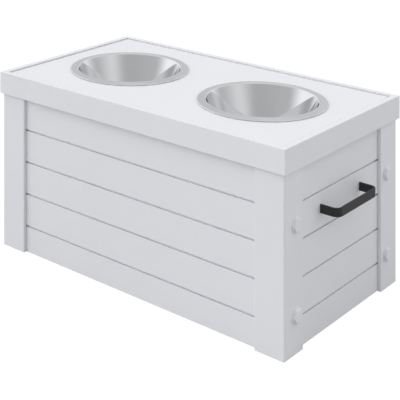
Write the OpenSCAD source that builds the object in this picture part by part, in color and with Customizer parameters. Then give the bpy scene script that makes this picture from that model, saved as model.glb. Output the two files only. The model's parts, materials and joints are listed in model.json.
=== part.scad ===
// Elevated dog feeder with storage: a board-sided chest on four corner posts, under a lift-off lid
// that carries two steel bowls. X runs along the chest, Y from front to back, Z up.
// The origin is the middle of the floor that it stands on.

/* [Lid] */
// Length over the lid's rails
lid_l = 600; // [560:5:700]
// Depth over the lid's rails
lid_w = 350; // [320:5:420]
// Height of the lid's rails
rail_h = 38; // [34:1:60]
// Thickness of the lid's rails
rail_t = 10.5; // [8:0.5:16]
// Rounding of the rails' long outer edges
rail_round = 0.5; // [0.3:0.1:2]
// Thickness of the panel that holds the bowls
panel_t = 15; // [12:0.5:16]
// How far the panel lies below the top of the rails
panel_drop = 2; // [1:0.5:4]
// Gap between the panel's edge and the rails
panel_gap = 3; // [0.4:0.1:3.5]
// Width of the ledgers under the panel's edge
ledger_w = 13; // [10:1:14]
// Height of the ledgers
ledger_h = 15; // [12:0.5:18]
// Thickness of the locating strips that drop inside the chest
locator_t = 12; // [8:1:16]
// How far the locating strips reach down inside the chest
locator_drop = 10; // [6:1:14]
// Play between a locating strip and the chest, on each side
locator_play = 1.5; // [0.8:0.1:3]

/* [Chest] */
// Height of the corner posts, from the floor
post_h = 271.7; // [255:0.1:300]
// Width of a square corner post
post_w = 52; // [46:1:64]
// Rounding of a post's upright edges
post_round = 1.5; // [0.5:0.1:3]
// How far the lid stands out past the posts, all round
lid_overhang = 4.5; // [2:0.5:8]
// How far the boards' faces lie behind the posts' faces
board_setback = 6; // [4:0.5:12]
// Thickness of a side board
board_t = 12; // [10:0.5:14]
// Height that one whole board covers
board_cover = 56.4; // [52:0.2:58]
// Height of the lowest board, which is ripped narrower
low_board_h = 45.8; // [40:0.2:50]
// Width of the open joint between the faces of two boards
joint_gap = 3; // [1:0.1:3.6]
// Width of the bevel on the edges of a board's face
board_bevel = 0.4; // [0.3:0.1:1.2]
// Gap under the lowest boards
floor_gap = 0.5; // [0.3:0.1:2]
// Depth of a board's end in a post
slot_depth = 8; // [6:0.5:12]
// Play behind a board's end in a post, and past it
slot_play = 0.3; // [0.2:0.05:0.5]
// Height of a board's tongue
tongue_h = 5; // [3:0.5:7]
// Thickness of a board's tongue
tongue_t = 4; // [3:0.5:5]
// Play around a tongue in its groove
tongue_play = 0.2; // [0.1:0.05:0.4]

/* [Chest inside] */
// Width of an upright batten behind the long sides
batten_w = 40; // [34:1:48]
// Thickness of an upright batten
batten_t = 25; // [22:1:28]
// Height of the cleats that carry the floor panel
cleat_h = 18; // [12:1:24]
// Width of the cleats
cleat_w = 18; // [12:1:22]
// Thickness of the floor panel
floor_t = 12; // [8:1:18]
// Gap between the floor panel and the walls round it
floor_play = 1; // [0.5:0.1:2]

/* [Bowls] */
// Radius of a bowl over its rolled rim
bowl_r = 107.1; // [102:0.1:112]
// Radius of a bowl's mouth
mouth_r = 92; // [86:0.5:96]
// Depth of a bowl below the panel
bowl_depth = 60; // [45:1:75]
// Lean of a bowl's wall, in degrees from upright
wall_lean = 18.5; // [14:0.5:26]
// Thickness of the steel
steel_t = 0.8; // [0.6:0.1:1.2]
// Radius of the rolled edge, to the middle of the steel
bead_r = 0.7; // [0.7:0.1:1.8]
// Radius between a bowl's floor and its wall
foot_r = 13; // [8:1:18]
// Radius where the wall turns into the rim
lip_r = 2.6; // [1.5:0.1:3.5]
// Slope of the rim from its crown down to the rolled edge, in degrees
rim_slope = 7; // [4:0.5:12]
// Radius of a bowl's hole in the panel
bowl_hole_r = 98; // [97:0.5:100]
// Distance between the bowls' centres
bowl_pitch = 287; // [270:1:300]

/* [Handles] */
// Length of a handle
handle_l = 123; // [100:1:150]
// How far a handle stands out from the boards
handle_reach = 32; // [26:0.5:45]
// Height of a handle's bar
handle_h = 13.5; // [10:0.5:18]
// Thickness of a handle's bar
handle_t = 4; // [3.6:0.1:6]
// Outer radius of a handle's corners
handle_bend = 12.5; // [8:0.5:18]
// Height of a handle's middle above the floor
handle_z = 188.7; // [175:0.1:200]
// Diameter of a handle's screws
handle_screw_d = 3; // [2.5:0.1:3.4]

/* [Bolts] */
// Height of the lower bolts above the floor
bolt_low_z = 56.5; // [48:0.5:62]
// Height of the upper bolts above the floor
bolt_high_z = 189.5; // [180:0.5:198]
// Distance from the back of the long sides' boards to the bolts
bolt_in = 14.5; // [10:0.5:16]
// Diameter of a bolt
bolt_d = 8; // [6:0.5:9]
// Depth of a bolt in its batten
bolt_grip = 25; // [18:1:28]
// Diameter of a bolt's washer
washer_d = 19; // [17:0.5:20]
// Diameter of a bolt cap's flange
cap_d = 24; // [23:0.5:27]
// Width across the flats of a bolt cap's hexagon
cap_flats = 19; // [18:0.5:20]
// Height of a bolt cap
cap_h = 5; // [4.8:0.1:7]
// Diameter of a wood screw
screw_d = 4; // [3:0.5:4.5]

/* [Hidden] */
$fn = 48;

// Clearances
seat = 0.3;       // between a resting piece and its seat on another body
hole_play = 0.1;  // round a bolt, screw or insert, on the radius
batten_gap = 6;   // between a batten's top and the locating strip over it
bolt_end_gap = 1; // between a bolt's end and the bottom of its insert
cut = 1;          // how far a cutting shape runs past a face

// Colours
paint = [0.88, 0.885, 0.9];
inner_paint = [0.8, 0.8, 0.8];
steel = [0.72, 0.73, 0.74];
black = [0.1, 0.1, 0.11];

// Heights of the lid
lid_low = post_h + seat;
lid_top = lid_low + rail_h;
panel_top = lid_top - panel_drop;
panel_low = panel_top - panel_t;
rail_in_x = lid_l / 2 - rail_t;
rail_in_y = lid_w / 2 - rail_t;

// Faces of the chest, as distances from its middle
post_x = lid_l / 2 - lid_overhang;
post_y = lid_w / 2 - lid_overhang;
post_in_x = post_x - post_w;
post_in_y = post_y - post_w;
board_x = post_x - board_setback;
board_y = post_y - board_setback;
board_in_x = board_x - board_t;
board_in_y = board_y - board_t;

// Boards, from the lowest up
board_count = 5;
function board_low(i) = i == 1 ? floor_gap : low_board_h + (i - 2) * board_cover;
function board_high(i) = i == board_count ? post_h : low_board_h + (i - 1) * board_cover;
long_board_l = 2 * (post_in_x + slot_depth);
end_board_l = 2 * (post_in_y + slot_depth);

// Inside of the chest
floor_low = floor_gap + cleat_h;
floor_top = floor_low + floor_t;
batten_top = post_h - locator_drop - batten_gap;
bolt_y = board_in_y - bolt_in;
batten_in_x = post_in_x - batten_w;

// Handles and their screws
handle_foot_y = (handle_l - handle_t) / 2;
handle_screw_grip = handle_reach / 2;
handle_head_d = 2 * handle_screw_d;
handle_head_h = 2;

// Bolts and caps
bolt_heights = [bolt_low_z, bolt_high_z];
bolt_head_d = 14;
bolt_head_h = 3;
washer_t = 1.2;
insert_wall = 1.6;
cap_flange_t = 1.6;
cap_bevel = 0.6;  // bite of the hexagon's bevel at the middle of a flat, on the outer face

// Wood screws
screw_head_d = 2 * screw_d;
screw_bite = 8;
batten_screw_x = batten_in_x + (batten_w - bolt_grip) / 2;
ledger_low = panel_low - ledger_h;
ledger_screw_y = rail_in_y - (panel_gap + ledger_w) / 2;
ledger_screw_x = rail_in_x - (panel_gap + ledger_w) / 2;
long_ledger_spots = [-0.85, -0.3, 0.3, 0.85];  // screws' places, as parts of the half length
end_ledger_spots = [-0.5, 0.5];

// Points of a circular arc about c, from angle a0 to a1
function arc(c, r, a0, a1, n) =
    [for (i = [0:n]) let (a = a0 + (a1 - a0) * i / n) c + r * [cos(a), sin(a)]];

// A w by d rectangle about the origin with corners rounded to r, as points
function rounded(w, d, r) = concat(
    arc([w / 2 - r, d / 2 - r], r, 0, 90, 4), arc([r - w / 2, d / 2 - r], r, 90, 180, 4),
    arc([r - w / 2, r - d / 2], r, 180, 270, 4), arc([w / 2 - r, r - d / 2], r, 270, 360, 4));

// Unit normal of a line of points at point i, to the right of its direction
function line_normal(p, i) =
    let (d = p[min(i + 1, len(p) - 1)] - p[max(i - 1, 0)]) [d.y, -d.x] / norm(d);

// Outline of a strip of thickness t that follows the points p, with radii kept from crossing the axis
function strip(p, t) = concat(
    [for (i = [0:len(p) - 1]) let (q = p[i] + line_normal(p, i) * t / 2) [i == 0 ? 0 : q.x, q.y]],
    [for (i = [len(p) - 1:-1:0]) let (q = p[i] - line_normal(p, i) * t / 2) [i == 0 ? 0 : q.x, q.y]]);

// Middle line of a bowl's steel as radius and height above the panel: floor, foot, leaning wall,
// lip, sloping rim and rolled edge. The rim is the straight line that touches both arcs.
bead_c = [bowl_r - steel_t / 2 - bead_r, seat + steel_t / 2 + bead_r];
lip_x = mouth_r + steel_t / 2 + lip_r;
rim_rise = (bead_c.x - lip_x) * tan(rim_slope) + (bead_r - lip_r) / cos(rim_slope);
lip_c = [lip_x, bead_c.y + rim_rise];
wall_top = lip_c + lip_r * [-cos(wall_lean), sin(wall_lean)];
foot_end_z = foot_r * (1 - sin(wall_lean)) - bowl_depth;
foot_c = [wall_top.x - (wall_top.y - foot_end_z) * tan(wall_lean) - foot_r * cos(wall_lean),
          foot_r - bowl_depth];
bowl_line = concat(
    [[0, -bowl_depth]], arc(foot_c, foot_r, -90, -wall_lean, 8),
    arc(lip_c, lip_r, 180 - wall_lean, 90 - rim_slope, 7),
    arc(bead_c, bead_r, 90 - rim_slope, -140, 12));

// A box between two corners
module block(low, high) {
    translate(low) cube(high - low);
}

// A rod along X from x0 to x1
module rod_x(x0, x1, d) {
    translate([x0, 0, 0]) rotate([0, 90, 0]) cylinder(h = x1 - x0, d = d);
}

// Places its children at each of the eight bolts, on the outer face of the right posts or the left
module at_bolts() {
    for (side = [0, 1], y = [-bolt_y, bolt_y], z = bolt_heights)
        mirror([side, 0, 0]) translate([post_x, y, z]) children();
}

// The front right post in its own place. Slots in its inner faces take the boards' ends,
// whose faces bear on the slots' outer sides.
module corner_post() {
    color(paint) difference() {
        translate([post_x - post_w / 2, post_w / 2 - post_y, 0])
            linear_extrude(post_h) polygon(rounded(post_w, post_w, post_round));
        block([post_in_x - cut, -board_y, -cut],
              [post_in_x + slot_depth + slot_play, -board_in_y + slot_play, post_h + cut]);
        block([board_in_x - slot_play, -post_in_y - slot_depth - slot_play, -cut],
              [board_x, -post_in_y + cut, post_h + cut]);
        for (z = bolt_heights)
            translate([0, -bolt_y, z])
                rod_x(post_in_x - cut, post_x + cut, bolt_d + 2 * hole_play);
    }
}

module post_front_right() { corner_post(); }
module post_front_left() { mirror([1, 0, 0]) corner_post(); }
module post_back_right() { mirror([0, 1, 0]) corner_post(); }
module post_back_left() { mirror([1, 0, 0]) mirror([0, 1, 0]) corner_post(); }

// Section of board i: its face at 0, its back at board_t, a groove in the lower edge and a tongue
// on the upper one. Two boards meet behind the tongue, and their faces end half a joint short of that.
module board_section(i) {
    low = board_low(i);
    high = board_high(i);
    mid = board_t / 2;
    lowest = i == 1;
    highest = i == board_count;
    face_low = low + joint_gap / 2;
    face_high = high - joint_gap / 2;
    groove_t = tongue_t + 2 * tongue_play;
    groove_h = tongue_h + tongue_play;
    lower_edge = lowest ? [] : [
        [mid - groove_t / 2, face_low], [mid - groove_t / 2, low + groove_h],
        [mid + groove_t / 2, low + groove_h], [mid + groove_t / 2, low]];
    upper_edge = highest ? [] : [
        [mid + tongue_t / 2, high], [mid + tongue_t / 2, high + tongue_h],
        [mid - tongue_t / 2, high + tongue_h], [mid - tongue_t / 2, face_high]];
    face = concat(
        highest ? [[0, high]] : [[board_bevel, face_high], [0, face_high - board_bevel]],
        lowest ? [[0, low]] : [[0, face_low + board_bevel], [board_bevel, face_low]]);
    polygon(concat(lower_edge, [[board_t, low], [board_t, high]], upper_edge, face));
}

// A board of length l whose face looks to -Y from y = 0, centred on X
module board(i, l) {
    rotate([90, 0, 90]) translate([0, 0, -l / 2]) linear_extrude(l) board_section(i);
}

// Height of the screw that holds board i to its batten: the board's middle, kept clear of the batten's ends
function board_screw_z(i) =
    max(min((board_low(i) + board_high(i)) / 2, batten_top - screw_head_d), floor_top + screw_head_d);

// Front board i, with holes for the batten screws
module long_board(i) {
    color(paint) difference() {
        translate([0, -board_y, 0]) board(i, long_board_l);
        for (side = [-1, 1])
            translate([side * batten_screw_x, -board_in_y, board_screw_z(i)]) batten_screw(hole_play);
    }
}

// Right end board i, with holes for the handle's screws where the handle crosses it
module end_board(i) {
    color(paint) difference() {
        translate([board_x, 0, 0]) rotate([0, 0, 90]) board(i, end_board_l);
        if (handle_z > board_low(i) && handle_z < board_high(i))
            for (side = [-1, 1])
                translate([0, side * handle_foot_y, handle_z])
                    rod_x(board_in_x - cut, board_x + cut, handle_screw_d + 2 * hole_play);
    }
}

module front_board(i) { long_board(i); }
module back_board(i) { mirror([0, 1, 0]) long_board(i); }
module right_board(i) { end_board(i); }
module left_board(i) { mirror([1, 0, 0]) end_board(i); }

// A countersunk screw along Y through a front batten into a board, origin where the two meet
module batten_screw(play = 0) {
    tip = -screw_bite - play;
    translate([0, tip, 0]) rotate([-90, 0, 0]) cylinder(h = batten_t - tip, d = screw_d + 2 * play);
    translate([0, batten_t - screw_d / 2, 0]) rotate([-90, 0, 0])
        cylinder(h = screw_d / 2 + play, d1 = screw_d + 2 * play, d2 = screw_head_d + 4 * play);
}

// The front right batten, which carries the boards' ends and takes the frame bolts
module batten() {
    color(inner_paint) difference() {
        block([batten_in_x, -board_in_y, floor_top], [post_in_x, -board_in_y + batten_t, batten_top]);
        for (z = bolt_heights)
            translate([0, -bolt_y, z])
                rod_x(post_in_x - bolt_grip, post_in_x + cut, bolt_d + 2 * insert_wall + 4 * hole_play);
        for (i = [1:board_count])
            translate([batten_screw_x, -board_in_y, board_screw_z(i)]) batten_screw(hole_play);
    }
}

module batten_front_right() { batten(); }
module batten_front_left() { mirror([1, 0, 0]) batten(); }
module batten_back_right() { mirror([0, 1, 0]) batten(); }
module batten_back_left() { mirror([1, 0, 0]) mirror([0, 1, 0]) batten(); }

module batten_screws() {
    color(steel)
        for (flip_x = [0, 1], flip_y = [0, 1], i = [1:board_count])
            mirror([flip_x, 0, 0]) mirror([0, flip_y, 0])
                translate([batten_screw_x, -board_in_y, board_screw_z(i)]) batten_screw();
}

// Floor panel, notched round the posts
module floor_panel() {
    x = board_in_x - floor_play;
    y = board_in_y - floor_play;
    color(inner_paint) difference() {
        block([-x, -y, floor_low], [x, y, floor_top]);
        for (flip_x = [0, 1], flip_y = [0, 1])
            mirror([flip_x, 0, 0]) mirror([0, flip_y, 0])
                block([post_in_x - floor_play, post_in_y - floor_play, floor_low - cut],
                      [x + cut, y + cut, floor_top + cut]);
    }
}

module floor_cleat_front() {
    color(inner_paint)
        block([-post_in_x, -board_in_y, floor_gap], [post_in_x, cleat_w - board_in_y, floor_low]);
}
module floor_cleat_back() { mirror([0, 1, 0]) floor_cleat_front(); }
module floor_cleat_right() {
    color(inner_paint)
        block([board_in_x - cleat_w, -post_in_y, floor_gap], [board_in_x, post_in_y, floor_low]);
}
module floor_cleat_left() { mirror([1, 0, 0]) floor_cleat_right(); }

// Bolts run from the posts' outer faces into the inserts in the battens
module frame_bolts() {
    color(steel) at_bolts() {
        rod_x(-post_w - bolt_grip + bolt_end_gap, washer_t, bolt_d);
        rod_x(washer_t, washer_t + bolt_head_h, bolt_head_d);
    }
}

module bolt_washers() {
    color(steel) at_bolts() difference() {
        rod_x(0, washer_t, washer_d);
        rod_x(-cut, washer_t + cut, bolt_d + 2 * hole_play);
    }
}

module bolt_inserts() {
    color(steel) at_bolts() difference() {
        rod_x(-post_w - bolt_grip, -post_w, bolt_d + 2 * insert_wall + 2 * hole_play);
        rod_x(-post_w - bolt_grip - cut, -post_w + cut, bolt_d + 2 * hole_play);
    }
}

// A moulded cap over each bolt head: a round flange and a chamfered hexagon, hollow inside
module bolt_caps() {
    color(paint) at_bolts() difference() {
        union() {
            rod_x(0, cap_flange_t, cap_d);
            intersection() {
                rotate([0, 90, 0]) rotate([0, 0, 30])
                    cylinder(h = cap_h, d = cap_flats / cos(30), $fn = 6);
                translate([cap_h, 0, 0]) rotate([0, -90, 0])
                    cylinder(h = cap_h, r1 = cap_flats / 2 - cap_bevel, r2 = cap_flats / 2 + cap_h);
            }
        }
        rod_x(-cut, washer_t + hole_play, washer_d + 2 * hole_play);
        rod_x(0, washer_t + bolt_head_h + hole_play, bolt_head_d + 2 * hole_play);
    }
}

// Outline of the right handle seen from above, bent from flat bar
function handle_outline() =
    let (w = handle_l / 2, r = handle_bend, q = handle_bend - handle_t, x = handle_reach)
    concat([[0, -w]], arc([x - r, r - w], r, -90, 0, 8), arc([x - r, w - r], r, 0, 90, 8), [[0, w]],
           [[0, w - handle_t]], arc([x - r, w - r], q, 90, 0, 8), arc([x - r, r - w], q, 0, -90, 8),
           [[0, handle_t - w]]);

module handle_right() {
    color(black) difference() {
        translate([board_x, 0, handle_z - handle_h / 2])
            linear_extrude(handle_h) polygon(handle_outline());
        for (side = [-1, 1])
            translate([board_x, side * handle_foot_y, handle_z])
                rod_x(-cut, handle_screw_grip + hole_play, handle_screw_d + 2 * hole_play);
    }
}
module handle_left() { mirror([1, 0, 0]) handle_right(); }

// Screws from inside the chest into the handles' feet
module handle_screws() {
    color(steel)
        for (end = [0, 1], side = [-1, 1])
            mirror([end, 0, 0]) translate([0, side * handle_foot_y, handle_z]) {
                rod_x(board_in_x, board_x + handle_screw_grip, handle_screw_d);
                rod_x(board_in_x - handle_head_h, board_in_x, handle_head_d);
            }
}

// Section of a rail: y from 0 at its outer face, z from 0 at its lower edge
module rail_section() {
    r = rail_round;
    polygon(concat([[rail_t, 0], [rail_t, rail_h]], arc([r, rail_h - r], r, 90, 180, 3),
                   arc([r, r], r, 180, 270, 3)));
}

// The front rail of a lid l long and w deep, mitred at both ends
module mitred_rail(l, w) {
    color(paint) intersection() {
        translate([-l / 2, -w / 2, lid_low]) rotate([90, 0, 90]) linear_extrude(l) rail_section();
        translate([0, 0, lid_low - cut]) linear_extrude(rail_h + 2 * cut)
            polygon([[-l / 2, -w / 2], [l / 2, -w / 2],
                     [l / 2 - w / 2, 0], [w / 2 - l / 2, 0]]);
    }
}

module lid_rail_front() { mitred_rail(lid_l, lid_w); }
module lid_rail_back() { mirror([0, 1, 0]) lid_rail_front(); }
module lid_rail_right() { rotate([0, 0, 90]) end_rail(); }
module lid_rail_left() { mirror([1, 0, 0]) lid_rail_right(); }

// An end rail before it is turned into place, mitred to meet the long rails
module end_rail() {
    color(paint) intersection() {
        translate([-lid_w / 2, -lid_l / 2, lid_low])
            rotate([90, 0, 90]) linear_extrude(lid_w) rail_section();
        translate([0, -lid_l / 2, lid_low - cut]) linear_extrude(rail_h + 2 * cut)
            polygon([[-lid_w / 2, 0], [lid_w / 2, 0],
                     [lid_w / 2 - 2 * rail_t, 2 * rail_t], [2 * rail_t - lid_w / 2, 2 * rail_t]]);
    }
}

// Places its children at each of the screws that hold the panel to its ledgers
module at_ledger_screws() {
    for (side = [-1, 1]) {
        for (x = long_ledger_spots)
            translate([x * rail_in_x, side * ledger_screw_y, ledger_low]) children();
        for (y = end_ledger_spots)
            translate([side * ledger_screw_x, y * rail_in_y, ledger_low]) children();
    }
}

// A countersunk screw up through a ledger into the panel, origin at its head
module ledger_screw(play = 0) {
    cylinder(h = panel_low - ledger_low + screw_bite + play, d = screw_d + 2 * play);
    translate([0, 0, -play])
        cylinder(h = screw_d / 2 + play, d1 = screw_head_d + 4 * play, d2 = screw_d + 2 * play);
}

module lid_panel() {
    x = rail_in_x - panel_gap;
    y = rail_in_y - panel_gap;
    color(paint) difference() {
        block([-x, -y, panel_low], [x, y, panel_top]);
        for (side = [-1, 1])
            translate([side * bowl_pitch / 2, 0, panel_low - cut])
                cylinder(h = panel_t + 2 * cut, r = bowl_hole_r, $fn = 128);
        at_ledger_screws() ledger_screw(hole_play);
    }
}

module lid_ledger_front() {
    color(inner_paint) difference() {
        block([-rail_in_x, -rail_in_y, ledger_low], [rail_in_x, ledger_w - rail_in_y, panel_low]);
        at_ledger_screws() ledger_screw(hole_play);
    }
}
module lid_ledger_back() { mirror([0, 1, 0]) lid_ledger_front(); }
module lid_ledger_right() {
    y = rail_in_y - ledger_w;
    color(inner_paint) difference() {
        block([rail_in_x - ledger_w, -y, ledger_low], [rail_in_x, y, panel_low]);
        at_ledger_screws() ledger_screw(hole_play);
    }
}
module lid_ledger_left() { mirror([1, 0, 0]) lid_ledger_right(); }

// Locating strips under the panel, just inside the chest's walls and clear of the ledgers
module lid_locator_front() {
    x = post_in_x - locator_play;
    y = min(board_in_y - locator_play, rail_in_y - ledger_w);
    color(inner_paint)
        block([-x, -y, post_h - locator_drop], [x, locator_t - y, panel_low]);
}
module lid_locator_back() { mirror([0, 1, 0]) lid_locator_front(); }
module lid_locator_right() {
    x = min(board_in_x - locator_play, rail_in_x - ledger_w);
    y = post_in_y - locator_play;
    color(inner_paint)
        block([x - locator_t, -y, post_h - locator_drop], [x, y, panel_low]);
}
module lid_locator_left() { mirror([1, 0, 0]) lid_locator_right(); }

module lid_screws() {
    color(steel) at_ledger_screws() ledger_screw();
}

module bowl(side) {
    color(steel) translate([side * bowl_pitch / 2, 0, panel_top])
        rotate_extrude($fn = 128) polygon(strip(bowl_line, steel_t));
}

module bowl_left() { bowl(-1); }
module bowl_right() { bowl(1); }

post_front_left();
post_front_right();
post_back_left();
post_back_right();
front_board(1);  // front_board_1
front_board(2);  // front_board_2
front_board(3);  // front_board_3
front_board(4);  // front_board_4
front_board(5);  // front_board_5
back_board(1);  // back_board_1
back_board(2);  // back_board_2
back_board(3);  // back_board_3
back_board(4);  // back_board_4
back_board(5);  // back_board_5
left_board(1);  // left_board_1
left_board(2);  // left_board_2
left_board(3);  // left_board_3
left_board(4);  // left_board_4
left_board(5);  // left_board_5
right_board(1);  // right_board_1
right_board(2);  // right_board_2
right_board(3);  // right_board_3
right_board(4);  // right_board_4
right_board(5);  // right_board_5
batten_front_left();
batten_front_right();
batten_back_left();
batten_back_right();
batten_screws();
floor_panel();
floor_cleat_front();
floor_cleat_back();
floor_cleat_left();
floor_cleat_right();
frame_bolts();
bolt_washers();
bolt_inserts();
bolt_caps();
handle_left();
handle_right();
handle_screws();
lid_rail_front();
lid_rail_back();
lid_rail_left();
lid_rail_right();
lid_panel();
lid_ledger_front();
lid_ledger_back();
lid_ledger_left();
lid_ledger_right();
lid_locator_front();
lid_locator_back();
lid_locator_left();
lid_locator_right();
lid_screws();
bowl_left();
bowl_right();
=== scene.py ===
# %% [markdown]
# # A raised dog feeder with storage
# The object is a chest of painted boards on four corner posts. A lid with a raised rim lies on it and
# carries two steel bowls. The solids come ready from the CAD frame, in metres, with Z up. This lesson
# gives them their finish, and remakes what the eye meets first with softly rounded edges, because
# paint, plastic and pressed steel never end in a knife edge, and a rounded edge is what catches light.

# %% Setup
import json

import bpy
import numpy as np
from mathutils import Matrix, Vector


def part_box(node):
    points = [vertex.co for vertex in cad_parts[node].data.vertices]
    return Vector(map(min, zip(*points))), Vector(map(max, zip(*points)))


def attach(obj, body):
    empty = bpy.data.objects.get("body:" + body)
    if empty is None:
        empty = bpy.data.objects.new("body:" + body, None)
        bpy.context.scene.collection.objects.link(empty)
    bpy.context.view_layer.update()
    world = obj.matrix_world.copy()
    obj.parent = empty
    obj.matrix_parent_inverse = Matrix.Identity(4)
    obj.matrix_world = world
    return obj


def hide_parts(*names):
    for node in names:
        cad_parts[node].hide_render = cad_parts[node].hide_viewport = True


MM = 0.001
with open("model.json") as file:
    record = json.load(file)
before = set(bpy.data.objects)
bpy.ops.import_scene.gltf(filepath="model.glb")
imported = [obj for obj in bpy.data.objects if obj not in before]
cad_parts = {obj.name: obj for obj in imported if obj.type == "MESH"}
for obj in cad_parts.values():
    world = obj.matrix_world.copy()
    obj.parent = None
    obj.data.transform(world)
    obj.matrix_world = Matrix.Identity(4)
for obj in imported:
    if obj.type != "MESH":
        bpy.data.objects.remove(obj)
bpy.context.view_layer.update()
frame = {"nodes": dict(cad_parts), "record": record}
nodes = frame["nodes"]

# %% [markdown]
# ## Camera
# The photograph keeps upright edges upright although the camera looks down, as a lens does that is
# shifted downwards. A plain camera can't do that, and a large shift would spoil every other view. So
# the camera gets a skewed parent: its X and Y stay level and upright, while its depth axis points
# through the middle of the picture. Another view only has to drop the parent to be a plain camera again.

# %% Camera
CAMERA_TURN = np.radians(42.0746)
CAMERA_PLACE = np.array([1.18233, -1.55132, 0.87437])
FOCAL_PX = 1120.86
PICTURE_PX = 400
MIDDLE_RIGHT = 100.75 / FOCAL_PX  # the picture's middle, from the line that looks level and ahead
MIDDLE_DOWN = 442.30 / FOCAL_PX
SENSOR_MM = 36

X, Y, Z = np.identity(3)
right = np.cos(CAMERA_TURN) * X + np.sin(CAMERA_TURN) * Y
ahead = np.cos(CAMERA_TURN) * Y - np.sin(CAMERA_TURN) * X
gaze = ahead + MIDDLE_RIGHT * right - MIDDLE_DOWN * Z
reach = np.linalg.norm(gaze)

camera_data = bpy.data.cameras.new("camera")
camera_data.sensor_width = SENSOR_MM
camera_data.lens = FOCAL_PX * reach * SENSOR_MM / PICTURE_PX
camera = bpy.data.objects.new("camera", camera_data)
stand = bpy.data.objects.new("camera_stand", None)
for item in (camera, stand):
    bpy.context.scene.collection.objects.link(item)
skew = np.identity(4)
skew[:3, :4] = np.column_stack([right, Z, -gaze / reach, CAMERA_PLACE])
camera.parent = stand
camera.matrix_parent_inverse = Matrix(skew.tolist())
bpy.context.scene.camera = camera
print("lens", round(camera_data.lens, 2), "mm")

# %% [markdown]
# ## From numbers to meshes
# Every new piece is a grid of points. One direction of the grid runs round an outline and the other
# runs along a path, so a single function can turn either into faces. The normals come from the same
# formula as the points. That keeps large flat faces flat right up to their rounded edges, where
# averaged normals would leave grey smears.

# %% Grid to mesh
def as_mesh(name, points, faces, corner_normals, corner_uv):
    """A mesh object at the origin, with one normal and one UV pair for each corner of each face."""
    mesh = bpy.data.meshes.new(name)
    mesh.from_pydata(points.tolist(), [], faces)
    mesh.polygons.foreach_set("use_smooth", np.ones(len(faces), bool))
    layer = mesh.uv_layers.new(name="surface")
    layer.data.foreach_set("uv", np.asarray(corner_uv, np.float32).ravel())
    mesh.normals_split_custom_set(np.asarray(corner_normals).tolist())
    made = bpy.data.objects.new(name, mesh)
    bpy.context.scene.collection.objects.link(made)
    return made


def skin(points, normals, around, along, tips=None, first=0):
    """Faces of a grid of points whose second index runs round a closed loop.

    Point [k, i] joins [k, i + 1], [k + 1, i + 1] and [k + 1, i]. The two end loops are closed by one
    flat face each, or by a fan to each of two tips. around and along are distances in metres, and
    become the UV map. Returns points, faces, corner normals and corner UVs; first is the number of
    points that come before these in the mesh."""
    rows, cols = points.shape[:2]
    here = np.arange(rows * cols).reshape(rows, cols)
    there = np.roll(here, -1, axis=1)
    quads = np.stack([here[:-1], there[:-1], there[1:], here[1:]], -1).reshape(-1, 4)
    u = np.stack([along[:-1, None] + 0 * around[:-1]] * 2 + [along[1:, None] + 0 * around[:-1]] * 2, -1)
    v = np.stack([around[:-1], around[1:], around[1:], around[:-1]], -1)
    v = np.broadcast_to(v[None], u.shape)
    uv = np.stack([u, v], -1).reshape(-1, 2)
    flat_points, flat_normals = points.reshape(-1, 3), normals.reshape(-1, 3)
    corner_normals = flat_normals[quads].reshape(-1, 3)
    faces = (quads + first).tolist()
    extra_points, extra_normals, extra_uv = [], [], []
    for end, loop in ((0, here[0][::-1]), (1, here[-1])):
        if tips is None:
            faces.append((loop + first).tolist())
            a, b = flat_points[loop], np.roll(flat_points[loop], -1, axis=0)
            facing = np.cross(a, b).sum(0)
            facing /= np.linalg.norm(facing)
            extra_normals.append(np.tile(facing, (cols, 1)))
            extra_uv.append(np.column_stack([np.full(cols, along[-end]), np.arange(cols) * MM]))
        else:
            tip = rows * cols + end
            fan = np.column_stack([loop, np.roll(loop, -1), np.full(cols, tip)])
            faces += (fan + first).tolist()
            extra_points.append(tips[end][0])
            ends = np.concatenate([flat_normals, [tips[0][1]], [tips[1][1]]])
            extra_normals.append(ends[fan].reshape(-1, 3))
            spread = np.stack([around[:-1], around[1:], (around[:-1] + around[1:]) / 2], -1)
            extra_uv.append(np.stack([np.full(spread.shape, along[-end]), spread], -1).reshape(-1, 2))
    return (
        np.concatenate([flat_points, *[[p] for p in extra_points]]),
        faces,
        np.concatenate([corner_normals, *extra_normals]),
        np.concatenate([uv, *extra_uv]),
    )


def lengths(points):
    """Distance run from the first point to each point of a line of points."""
    steps = np.linalg.norm(np.diff(points, axis=0), axis=1)
    return np.concatenate([[0], np.cumsum(steps)])


# %% [markdown]
# ## Outlines with rounded corners
# A plank, a post and a rail differ only in their outline. The outline is drawn as a polygon, and an
# arc replaces each corner. Knowing the arc also gives the direction that the surface faces there.

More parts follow.
